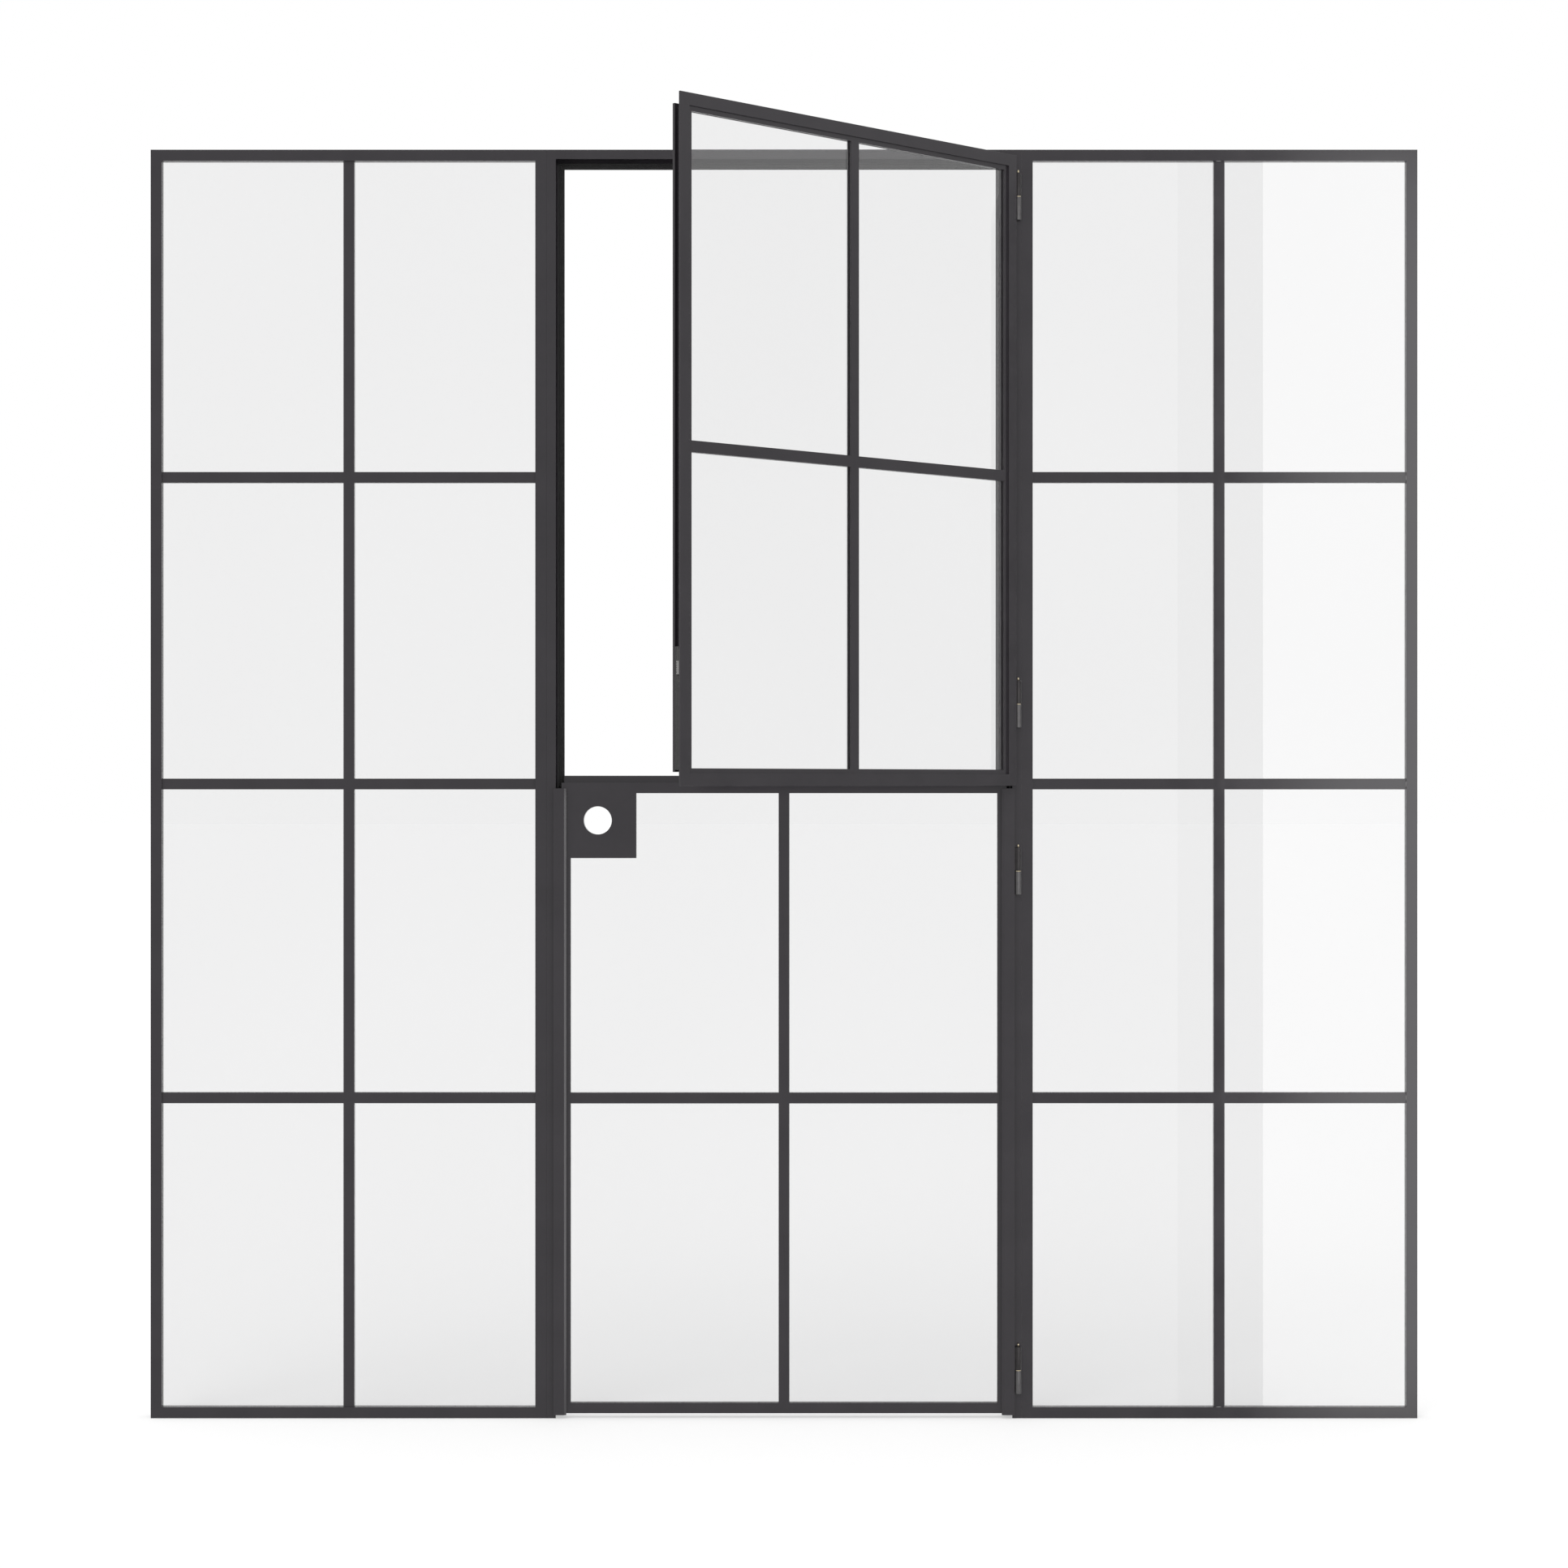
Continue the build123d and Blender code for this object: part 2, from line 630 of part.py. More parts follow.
# Flush bolt: a plate across the channel of the free edge, with a flat bar sliding behind it
plate_low = upper_foot + plate_rise
plate_high = plate_low + plate_length
slot = (plate_high - slot_margin - slot_length, plate_high - slot_margin)
channel = (lip_back, leaf_back - flange_thickness)
with BuildPart() as bolt_plate:
    through = (-flange_edge, -flange_edge + plate_thickness)
    block(upper_leaf, through, channel, (plate_low, plate_high))
    across = (channel_middle - slot_width / 2, channel_middle + slot_width / 2)
    block(upper_leaf, through, across, slot, Mode.SUBTRACT)
bolt_plate.part.label = "flush_bolt_plate"
export_step(bolt_plate.part, "parts/flush_bolt_plate.step")

with BuildPart() as bolt:
    body = (-bolt_x - bolt_thickness / 2, -bolt_x + bolt_thickness / 2)
    wide = (channel_middle - bolt_bar_width / 2, channel_middle + bolt_bar_width / 2)
    narrow = (channel_middle - bolt_tip_width / 2, channel_middle + bolt_tip_width / 2)
    thumb = (slot[1] - thumb_drop - thumb_length, slot[1] - thumb_drop)
    block(upper_leaf, body, wide, (plate_low, slot[1]))
    block(upper_leaf, body, narrow, (meeting_height + running_gap, plate_low))
    block(upper_leaf, (-flange_edge - thumb_proud, -bolt_x), wide, thumb)
    grip = (-flange_edge - thumb_proud, -flange_edge - thumb_proud + groove_depth)
    grip_middle = (thumb[0] + thumb[1]) / 2
    for groove in range(thumb_grooves):
        groove_low = grip_middle + (groove - (thumb_grooves - 1) / 2) * groove_pitch - groove_width / 2
        block(upper_leaf, grip, wide, (groove_low, groove_low + groove_width), Mode.SUBTRACT)
bolt.part.label = "flush_bolt"
export_step(bolt.part, "parts/flush_bolt.step")
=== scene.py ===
import bpy
import bmesh
import math
from mathutils import Matrix, Vector


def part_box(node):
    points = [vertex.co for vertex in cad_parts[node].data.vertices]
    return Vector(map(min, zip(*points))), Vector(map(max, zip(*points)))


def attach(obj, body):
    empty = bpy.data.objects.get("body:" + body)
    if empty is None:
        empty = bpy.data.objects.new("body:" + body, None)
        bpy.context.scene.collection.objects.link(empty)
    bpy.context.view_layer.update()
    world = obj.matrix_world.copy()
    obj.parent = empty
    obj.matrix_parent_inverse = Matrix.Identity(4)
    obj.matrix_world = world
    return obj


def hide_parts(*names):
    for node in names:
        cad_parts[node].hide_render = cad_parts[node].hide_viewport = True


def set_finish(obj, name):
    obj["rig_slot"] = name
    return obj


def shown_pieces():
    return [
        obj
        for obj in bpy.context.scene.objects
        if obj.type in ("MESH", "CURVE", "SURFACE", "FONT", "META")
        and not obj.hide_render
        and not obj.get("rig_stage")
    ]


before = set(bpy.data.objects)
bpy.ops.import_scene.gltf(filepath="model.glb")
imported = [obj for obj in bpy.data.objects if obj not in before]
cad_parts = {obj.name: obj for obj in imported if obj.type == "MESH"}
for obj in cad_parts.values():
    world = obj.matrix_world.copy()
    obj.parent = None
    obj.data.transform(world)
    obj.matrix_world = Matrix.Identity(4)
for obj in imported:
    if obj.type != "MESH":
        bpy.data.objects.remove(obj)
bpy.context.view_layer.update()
print("frame loaded, parts:", len(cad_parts))

# Metres throughout. The upper leaf stands open at this angle, turned about the hinge pins.
upperLeafAngle = math.radians(45)
pinLow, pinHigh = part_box("hinge_washers")
pinAxis = Vector(((pinLow.x + pinHigh.x) / 2, (pinLow.y + pinHigh.y) / 2, 0))
leafTurn = (
    Matrix.Translation(pinAxis)
    @ Matrix.Rotation(upperLeafAngle, 4, "Z")
    @ Matrix.Translation(-pinAxis)
)
noTurn = Matrix.Identity(4)


# Small helpers for meshes
meshing = {"places": 5, "mergeGap": 2e-6, "flatAngle": 0.6, "sharpAngle": 35.0}


def linked(name, mesh):
    piece = bpy.data.objects.new(name, mesh)
    bpy.context.scene.collection.objects.link(piece)
    return piece


def evaluatedMesh(piece):
    bpy.context.view_layer.update()
    graph = bpy.context.evaluated_depsgraph_get()
    return bpy.data.meshes.new_from_object(piece.evaluated_get(graph))


def removed(piece):
    mesh = piece.data
    bpy.data.objects.remove(piece)
    bpy.data.meshes.remove(mesh)


def meshFrom(name, work):
    mesh = bpy.data.meshes.new(name)
    work.to_mesh(mesh)
    work.free()
    return mesh


def cadCopy(nodeName, turn):
    # merged copy of a CAD piece, turned back into the door's plane and rounded to 0.01 mm
    work = bmesh.new()
    work.from_mesh(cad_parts[nodeName].data)
    bmesh.ops.transform(work, matrix=turn.inverted(), verts=work.verts)
    for vert in work.verts:
        vert.co = [round(value, meshing["places"]) for value in vert.co]
    bmesh.ops.remove_doubles(work, verts=work.verts, dist=meshing["mergeGap"])
    return work


def flattened(work):
    # one face in place of the triangles of each flat side, for members with no hole through a side
    angle = math.radians(meshing["flatAngle"])
    bmesh.ops.dissolve_limit(work, angle_limit=angle, verts=work.verts, edges=work.edges)
    return work


def seated(name, mesh, body, slotName, material, turn=noTurn):
    # a finished piece: its place is in its mesh, and it rides on its body
    mesh.transform(turn)
    mesh.materials.clear()
    mesh.materials.append(material)
    mesh.name = name
    piece = linked(name, mesh)
    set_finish(piece, slotName)
    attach(piece, body)
    return piece


def eased(mesh, width, segments=2):
    # nothing rolled or moulded has knife edges, so every corner gets a small radius
    piece = linked("easing", mesh)
    for polygon in mesh.polygons:
        polygon.use_smooth = True
    corner = piece.modifiers.new("corner", "BEVEL")
    corner.width = width
    corner.segments = segments
    corner.limit_method = "ANGLE"
    corner.angle_limit = math.radians(meshing["sharpAngle"])
    corner.use_clamp_overlap = False
    corner.miter_outer = "MITER_ARC"
    shading = piece.modifiers.new("shading", "WEIGHTED_NORMAL")
    shading.keep_sharp = True
    result = evaluatedMesh(piece)
    removed(piece)
    return result


def mitred(nodeNames, turn):
    # members that meet in mitres share their cut faces, so each pair of cut faces goes
    work = joinedWork([meshFrom(name, flattened(cadCopy(name, turn))) for name in nodeNames])
    sharing = {}
    for face in work.faces:
        places = [[round(value, meshing["places"]) for value in vert.co] for vert in face.verts]
        sharing.setdefault(frozenset(map(tuple, places)), []).append(face)
    cuts = [face for pair in sharing.values() if len(pair) == 2 for face in pair]
    bmesh.ops.delete(work, geom=cuts, context="FACES_ONLY")
    bmesh.ops.remove_doubles(work, verts=work.verts, dist=meshing["mergeGap"])
    return meshFrom("mitred", work)


def joinedWork(meshes):
    work = bmesh.new()
    for mesh in meshes:
        work.from_mesh(mesh)
        bpy.data.meshes.remove(mesh)
    return work


def welded(cornerNodes, buttNodes, turn):
    # the members of a welded frame as one body, so that no joint line shows
    solids = [linked("weldedFrame", mitred(cornerNodes, turn))]
    solids += [linked(name + "Solid", meshFrom(name, cadCopy(name, turn))) for name in buttNodes]
    for tool in solids[1:]:
        union = solids[0].modifiers.new(tool.name, "BOOLEAN")
        union.operation = "UNION"
        union.solver = "EXACT"
        union.object = tool
    result = evaluatedMesh(solids[0])
    for solid in solids:
        removed(solid)
    work = bmesh.new()
    work.from_mesh(result)
    bmesh.ops.remove_doubles(work, verts=work.verts, dist=meshing["mergeGap"])
    bmesh.ops.connect_verts_concave(work, faces=work.faces)
    bpy.data.meshes.remove(result)
    return meshFrom("welded", work)


def islands(work):
    # groups of vertices that hang together
    left = set(work.verts)
    groups = []
    while left:
        stack = [left.pop()]
        group = set(stack)
        while stack:
            for edge in stack.pop().link_edges:
                for vert in edge.verts:
                    if vert not in group:
                        group.add(vert)
                        stack.append(vert)
        left -= group
        groups.append(group)
    return groups


def spanOf(group):
    # lowest and highest corner
    low = Vector([min(vert.co[i] for vert in group) for i in range(3)])
    high = Vector([max(vert.co[i] for vert in group) for i in range(3)])
    return low, high


def islandBoxes(nodeName, turn=noTurn):
    # one box for each solid of a CAD piece, from the lowest up and from left to right
    work = cadCopy(nodeName, turn)
    boxes = [spanOf(group) for group in islands(work)]
    work.free()
    return sorted(boxes, key=lambda box: (round(box[0].z, 3), box[0].x))


# Small helpers for materials. Noise seldom leaves this band, so the band gets a look's full range
noiseBand = (0.3, 0.7)


def addNode(tree, kind, settings=None, **inputs):
    # adds a node with its settings, each named input given a value or another node's output
    node = tree.nodes.new(kind)
    for key, value in (settings or {}).items():
        setattr(node, key, value)
    for key, value in inputs.items():
        socket = node.inputs[key]
        if isinstance(value, bpy.types.NodeSocket):
            tree.links.new(value, socket)
        else:
            socket.default_value = value
    return node


def worked(tree, operation, *values):
    # result of one sum on sockets and plain numbers
    node = addNode(tree, "ShaderNodeMath", {"operation": operation})
    for socket, value in zip(node.inputs, values):
        if isinstance(value, bpy.types.NodeSocket):
            tree.links.new(value, socket)
        else:
            socket.default_value = value
    return node.outputs["Value"]


def newMaterial(name):
    material = bpy.data.materials.new(name)
    material.use_nodes = True
    tree = material.node_tree
    return material, tree, tree.nodes["Principled BSDF"]


def noiseOn(tree, place, scale, detail):
    noise = addNode(tree, "ShaderNodeTexNoise", Vector=place, Scale=scale, Detail=detail)
    return noise.outputs["Fac"]


def ramp(tree, factor, dark, light):
    node = addNode(tree, "ShaderNodeValToRGB", Fac=factor)
    for stop, colour, place in zip(node.color_ramp.elements, (dark, light), noiseBand):
        stop.color = (*colour, 1)
        stop.position = place
    return node.outputs["Color"]


def spread(tree, factor, low, high):
    node = addNode(tree, "ShaderNodeMapRange", Value=factor)
    node.inputs["From Min"].default_value = noiseBand[0]
    node.inputs["From Max"].default_value = noiseBand[1]
    node.inputs["To Min"].default_value = low
    node.inputs["To Max"].default_value = high
    return node.outputs["Result"]


def mottledFinish(name, look):
    # colour and roughness drift over the surface, and a fine grain lifts it
    material, tree, shader = newMaterial(name)
    place = addNode(tree, "ShaderNodeTexCoord").outputs["Object"]
    if "stretch" in look:
        stretched = addNode(tree, "ShaderNodeMapping", Vector=place, Scale=look["stretch"])
        place = stretched.outputs["Vector"]
    cloud = noiseOn(tree, place, look["cloudScale"], detail=4)
    grain = noiseOn(tree, place, look["grainScale"], detail=2)
    relief = {"Strength": look["grainStrength"], "Distance": look["grainHeight"], "Height": grain}
    bump = addNode(tree, "ShaderNodeBump", **relief)
    tree.links.new(bump.outputs["Normal"], shader.inputs["Normal"])
    tree.links.new(ramp(tree, cloud, look["dark"], look["light"]), shader.inputs["Base Color"])
    tree.links.new(spread(tree, cloud, *look["roughness"]), shader.inputs["Roughness"])
    shader.inputs["Metallic"].default_value = look["metallic"]
    shader.inputs["IOR"].default_value = look.get("ior", 1.5)
    return material


paintLook = {
    "dark": (0.0314, 0.0280, 0.0328),
    "light": (0.0374, 0.0336, 0.0388),
    "roughness": (0.12, 0.16),
    "ior": 1.40,
    "metallic": 0.0,
    "cloudScale": 14.0,
    "grainScale": 700.0,
    "grainStrength": 0.14,
    "grainHeight": 0.00005,
}
paint = mottledFinish("paintedSteel", paintLook)

# hinge steel for the frame's barrels and their welds, painted lighter than the knuckles: a painted
# highlight for the light that falls on these barrels
litHingeLook = {
    "dark": (0.082, 0.079, 0.081),
    "light": (0.108, 0.105, 0.106),
    "roughness": (0.28, 0.38),
    "metallic": 0.6,
    "cloudScale": 90.0,
    "grainScale": 900.0,
    "grainStrength": 0.3,
    "grainHeight": 0.00005,
}
hingeSteel = mottledFinish("hingeSteel", litHingeLook)
# the same hinge steel painted darker for the knuckles and their welds on both leaves: painted
# shade, standing for the shadow and dark reflections of the open leaf that fall on them
shadedKnuckleLook = {**litHingeLook, "dark": (0.024, 0.022, 0.023), "light": (0.036, 0.033, 0.034)}
knuckleSteel = mottledFinish("knuckleSteel", shadedKnuckleLook)

plateLook = {
    "dark": (0.022, 0.022, 0.022),
    "light": (0.062, 0.061, 0.060),
    "roughness": (0.35, 0.55),
    "ior": 1.40,
    "metallic": 0.0,
    "cloudScale": 520.0,
    "grainScale": 1100.0,
    "grainStrength": 0.3,
    "grainHeight": 0.00005,
}
plateSteel = mottledFinish("blackenedPlate", plateLook)

brassLook = {
    "dark": (0.50, 0.43, 0.30),
    "light": (0.64, 0.56, 0.41),
    "roughness": (0.22, 0.34),
    "metallic": 1.0,
    "cloudScale": 160.0,
    "grainScale": 1200.0,
    "grainStrength": 0.25,
    "grainHeight": 0.00004,
}
brass = mottledFinish("brass", brassLook)

boltLook = {
    "dark": (0.27, 0.265, 0.26),
    "light": (0.36, 0.355, 0.35),
    "roughness": (0.34, 0.48),
    "metallic": 0.35,
    "stretch": (1.0, 1.0, 0.06),
    "cloudScale": 900.0,
    "grainScale": 2400.0,
    "grainStrength": 0.2,
    "grainHeight": 0.00003,
}
boltSteel = mottledFinish("brushedBoltSteel", boltLook)

rubberLook = {
    "dark": (0.0085, 0.0083, 0.0085),
    "light": (0.0125, 0.0122, 0.0125),
    "roughness": (0.55, 0.7),
    "metallic": 0.0,
    "cloudScale": 60.0,
    "grainScale": 1500.0,
    "grainStrength": 0.4,
    "grainHeight": 0.00005,
}
rubber = mottledFinish("blackRubber", rubberLook)

glassLook = {
    "dark": (0.846, 0.846, 0.848),
    "light": (0.856, 0.856, 0.858),
    "through": (0.85, 0.85, 0.85),
    "ior": 1.70,
    "cloudScale": 1.5,
}


def clearGlass(look):
    # daylight passes straight through for shadows, and the float glass drifts faintly in tint
    material, tree, shader = newMaterial("clearGlass")
    place = addNode(tree, "ShaderNodeTexCoord").outputs["Object"]
    cloud = noiseOn(tree, place, look["cloudScale"], detail=1)
    tree.links.new(ramp(tree, cloud, look["dark"], look["light"]), shader.inputs["Base Color"])
    shader.inputs["Roughness"].default_value = 0.0
    shader.inputs["IOR"].default_value = look["ior"]
    shader.inputs["Transmission Weight"].default_value = 1.0
    rays = addNode(tree, "ShaderNodeLightPath").outputs
    fill = worked(tree, "MAXIMUM", rays["Is Shadow Ray"], rays["Is Diffuse Ray"])
    passing = addNode(tree, "ShaderNodeBsdfTransparent")
    passing.inputs["Color"].default_value = (*look["through"], 1)
    choice = addNode(tree, "ShaderNodeMixShader")
    tree.links.new(fill, choice.inputs[0])
    tree.links.new(shader.outputs["BSDF"], choice.inputs[1])
    tree.links.new(passing.outputs["BSDF"], choice.inputs[2])
    tree.links.new(choice.outputs["Shader"], tree.nodes["Material Output"].inputs["Surface"])
    return material


glass = clearGlass(glassLook)
print("materials made")


# Welded steelwork: corners and bar crossings are ground flush and painted over
steelwork = {
    "cornerRadius": 0.00025,
    "frames": {
        "leftPanelFrame": (
            "frame", noTurn,
            ["left_outer_stile", "left_top_rail", "left_inner_stile", "left_bottom_rail"],
            ["left_upright_bar", "left_cross_bars"],
        ),
        "rightPanelFrame": (
            "frame", noTurn,
            ["right_outer_stile", "right_top_rail", "right_inner_stile", "right_bottom_rail"],
            ["right_upright_bar", "right_cross_bars"],
        ),
        "centreFrame": ("frame", noTurn, ["lock_jamb", "head", "hinge_jamb"], []),
        "lowerLeafFrame": (
            "lower_leaf", noTurn,
            ["lower_lock_stile"],
            [
                "lower_meeting_rail", "lower_hinge_stile", "lower_foot_rail",
                "lower_upright_bar", "lower_cross_bars", "lock_box",
            ],
        ),
        "upperLeafFrame": (
            "upper_leaf", leafTurn,
            ["upper_lock_stile", "upper_top_rail", "upper_hinge_stile"],
            ["upper_foot_rail", "upper_upright_bar", "upper_cross_bars"],
        ),
    },
}


def makeSteelwork(plan):
    for name, (body, turn, cornerNodes, buttNodes) in plan["frames"].items():
        mesh = eased(welded(cornerNodes, buttNodes, turn), plan["cornerRadius"])
        piece = seated(name, mesh, body, "painted_steel", paint, turn)
        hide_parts(*cornerNodes, *buttNodes)
        print("welded", name, "faces:", len(mesh.polygons))


makeSteelwork(steelwork)


# Pieces that keep their CAD shape, with their edges eased by the radius at the end of each line
trim = {
    "leftPanelBeads": ("left_beads", "frame", noTurn, "painted_steel", paint, 0.0004),
    "rightPanelBeads": ("right_beads", "frame", noTurn, "painted_steel", paint, 0.0004),
    "lowerLeafBeads": ("lower_beads", "lower_leaf", noTurn, "painted_steel", paint, 0.0004),
    "upperLeafBeads": ("upper_beads", "upper_leaf", leafTurn, "painted_steel", paint, 0.0004),
    "frameSeal": ("frame_seal", "frame", noTurn, "black_rubber", rubber, 0.0003),
    "boltPlate": ("flush_bolt_plate", "upper_leaf", leafTurn, "painted_steel", plateSteel, 0.0003),
    "slidingBolt": ("flush_bolt", "flush_bolt", leafTurn, "bolt_steel", boltSteel, 0.00035),
}


def makeTrim(plan):
    for name, (nodeName, body, turn, slotName, material, radius) in plan.items():
        mesh = eased(meshFrom(name, cadCopy(nodeName, turn)), radius)
        piece = seated(name, mesh, body, slotName, material, turn)
        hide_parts(nodeName)
    print("trim made, pieces:", len(plan))


makeTrim(trim)


# The inner edge of the lower leaf's lip falls away gently before it drops to the glazing
lipEdge = {"flat": 0.0208, "width": 0.0041, "fall": 0.00138}


def makeLipEdges(plan):
    work = bmesh.new()
    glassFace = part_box("lower_meeting_rail")[0].y
    for nodeName, inward in (("lower_lock_stile", 1), ("lower_hinge_stile", -1)):
        low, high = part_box(nodeName)
        edge = (low.x if inward > 0 else high.x) + inward * plan["flat"]
        wall = edge + inward * plan["width"]
        section = [(edge, low.y), (wall, low.y + plan["fall"]), (wall, glassFace)]
        ends = [[work.verts.new((x, y, z)) for x, y in section] for z in (low.z, high.z)]
        work.faces.new(ends[0])
        work.faces.new(ends[1])
        for i in range(3):
            j = (i + 1) % 3
            work.faces.new((ends[0][i], ends[0][j], ends[1][j], ends[1][i]))
    bmesh.ops.recalc_face_normals(work, faces=work.faces)
    seated("lowerLipEdges", meshFrom("lipEdges", work), "lower_leaf", "painted_steel", paint)
    print("lip edges made")


makeLipEdges(lipEdge)


def finishPanes():
    # the panes keep their CAD meshes
    for side in ("left", "right", "lower", "upper"):
        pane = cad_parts[side + "_glass"]
        pane.data.materials.clear()
        pane.data.materials.append(glass)
        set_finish(pane, "clear_glass")
    print("panes finished")


finishPanes()


# Weld-on barrel hinges: two turned barrels, a brass washer between them and a pin with a ball tip
hinge = {
    "sides": 48,
    "edgeRadius": 0.0006,
    "edgeSteps": 3,
    "tongueThickness": 0.0039,
    "tongueEase": 0.0005,
    "tongueFree": 0.0012,
    "tongueSeat": 0.0004,
    "tongueSunk": 0.0002,
    "tipRadius": 0.0019,
    "tipSteps": 10,
    "tipNeck": 0.0015,
    "bore": 0.0016,
}


def latheMesh(outlines):
    # spins each outline of (radius, height) about the pins, closed at both poles or round a bore
    work = bmesh.new()
    sides = hinge["sides"]
    for outline in outlines:
        rings = []
        for radius, height in outline:
            if radius == 0:
                rings.append([work.verts.new((pinAxis.x, pinAxis.y, height))])
                continue
            turns = [2 * math.pi * i / sides for i in range(sides)]
            spokes = [(radius * math.cos(t), radius * math.sin(t)) for t in turns]
            ring = [(pinAxis.x + x, pinAxis.y + y, height) for x, y in spokes]
            rings.append([work.verts.new(point) for point in ring])
        for lower, upper in zip(rings, rings[1:]):
            for i in range(sides):
                j = (i + 1) % sides
                near = [lower[i % len(lower)], lower[j % len(lower)]]
                far = [upper[j % len(upper)], upper[i % len(upper)]]
                work.faces.new(list(dict.fromkeys(near + far)))
    bmesh.ops.remove_doubles(work, verts=work.verts, dist=meshing["mergeGap"])
    bmesh.ops.recalc_face_normals(work, faces=work.faces)
    for face in work.faces:
        face.smooth = True
    return work


def barrelOutline(low, high, radius, bore=0):
    # straight barrel with a small rounded edge at each end, solid or bored for the pin
    edge = hinge["edgeRadius"]
    steps = [math.pi / 2 * i / hinge["edgeSteps"] for i in range(hinge["edgeSteps"] + 1)]
    foot = [(radius - edge + edge * math.sin(t), low + edge - edge * math.cos(t)) for t in steps]
    top = [(radius - edge + edge * math.cos(t), high - edge + edge * math.sin(t)) for t in steps]
    outline = [(bore, low), *foot, *top, (bore, high)]
    return outline + outline[:1] if bore else outline


def ballOutline(low, high):
    # neck of the pin, then a ball that ends it
    radius, steps = hinge["tipRadius"], hinge["tipSteps"]
    centre = high - radius
    first = -math.acos(hinge["tipNeck"] / radius)
    turns = [first + (math.pi / 2 - first) * i / steps for i in range(steps)]
    ball = [(radius * math.cos(t), centre + radius * math.sin(t)) for t in turns]
    return [(0, low), (hinge["tipNeck"], low), *ball, (0, high)]


def addBox(work, low, high):
    sides = [(low[i], high[i]) for i in range(3)]
    verts = [work.verts.new((x, y, z)) for x in sides[0] for y in sides[1] for z in sides[2]]
    for face in ("0132", "4675", "0451", "2376", "0264", "1573"):
        work.faces.new([verts[int(corner)] for corner in face])


def tongues(boxes):
    # flat straps that weld the barrels on
    work = bmesh.new()
    for low, high in boxes:
        addBox(work, low, high)
    bmesh.ops.recalc_face_normals(work, faces=work.faces)
    return eased(meshFrom("tongues", work), hinge["tongueEase"])


def barrelHalves(name, outlines, straps, body, material, nodeName, turn=noTurn):
    parts = [meshFrom("barrels", latheMesh(outlines)), tongues(straps)]
    piece = seated(name, meshFrom("halves", joinedWork(parts)), body, "hinge_steel", material, turn)
    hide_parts(nodeName)


def brassTurnings(name, outlines, nodeName):
    piece = seated(name, meshFrom(name, latheMesh(outlines)), "frame", "brass", brass)
    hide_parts(nodeName)


def makeHinges(plan):
    washers = islandBoxes("hinge_washers")
    radius = (washers[0][1].x - washers[0][0].x) / 2
    thick, free, seat = plan["tongueThickness"], plan["tongueFree"], plan["tongueSeat"]

    barrels = islandBoxes("frame_hinge_halves")
    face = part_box("hinge_jamb")[0].y
    straps = []
    for low, high in barrels:
        foot = Vector((pinAxis.x - thick / 2, pinAxis.y, low.z + free))
        straps.append((foot, Vector((pinAxis.x + thick / 2, face, high.z - seat))))
    outlines = [barrelOutline(low.z, high.z, radius) for low, high in barrels]
    barrelHalves("frameHinges", outlines, straps, "frame", hingeSteel, "frame_hinge_halves")

    outlines = [barrelOutline(low.z, high.z, radius) for low, high in washers]
    brassTurnings("hingeWashers", outlines, "hinge_washers")

    for name, body, turn in (("lower", "lower_leaf", noTurn), ("upper", "upper_leaf", leafTurn)):
        nodeName = name + "_hinge_knuckles"
        knuckles = islandBoxes(nodeName, turn)
        lip = islandBoxes(name + "_hinge_stile", turn)[0]
        edge, front = lip[1].x - plan["tongueSunk"], lip[0].y
        straps = []
        for low, high in knuckles:
            foot = Vector((edge, front, low.z + seat))
            straps.append((foot, Vector((pinAxis.x, front + thick, high.z - free))))
        outlines = [barrelOutline(low.z, high.z, radius, plan["bore"]) for low, high in knuckles]
        barrelHalves(name + "HingeKnuckles", outlines, straps, body, knuckleSteel, nodeName, turn)

    outlines = [ballOutline(low.z, high.z) for low, high in islandBoxes("hinge_pins")]
    brassTurnings("hingePins", outlines, "hinge_pins")
    print("hinges made:", len(outlines))


makeHinges(hinge)


# Geometry Nodes trees
def newTree(name, sizes):
    tree = bpy.data.node_groups.new(name, "GeometryNodeTree")
    tree.interface.new_socket("Geometry", in_out="INPUT", socket_type="NodeSocketGeometry")
    for label, value in sizes.items():
        socket = tree.interface.new_socket(label, in_out="INPUT", socket_type="NodeSocketFloat")
        socket.default_value = value
    tree.interface.new_socket("Finish", in_out="INPUT", socket_type="NodeSocketMaterial")
    tree.interface.new_socket("Geometry", in_out="OUTPUT", socket_type="NodeSocketGeometry")
    return tree, addNode(tree, "NodeGroupInput").outputs


def endTree(tree, given, geometry):
    plain = addNode(tree, "GeometryNodeRealizeInstances", Geometry=geometry)
    painted = addNode(tree, "GeometryNodeSetMaterial", Geometry=plain.outputs["Geometry"])
    tree.links.new(given["Finish"], painted.inputs["Material"])
    addNode(tree, "NodeGroupOutput", Geometry=painted.outputs["Geometry"])


def grown(name, paths, tree, sizes, material, body, slotName, turn=noTurn):
    # runs a tree on straight paths from start to end and keeps the result as a plain mesh
    work = bmesh.new()
    for start, end in paths:
        work.edges.new((work.verts.new(start), work.verts.new(end)))
    piece = linked(name + "Paths", meshFrom(name, work))
    growth = piece.modifiers.new("growth", "NODES")
    growth.node_group = tree
    for item in tree.interface.items_tree:
        if item.in_out == "INPUT" and item.name in sizes:
            growth[item.identifier] = sizes[item.name]
        if item.in_out == "INPUT" and item.name == "Finish":
            growth[item.identifier] = material
    mesh = evaluatedMesh(piece)
    removed(piece)
    return seated(name, mesh, body, slotName, material, turn)


def evenPoints(tree, given):
    run = addNode(tree, "GeometryNodeMeshToCurve", Mesh=given["Geometry"]).outputs["Curve"]
    settings = {"mode": "LENGTH"}
    even = addNode(tree, "GeometryNodeResampleCurve", settings, Curve=run, Length=given["Spacing"])
    return even.outputs["Curve"]


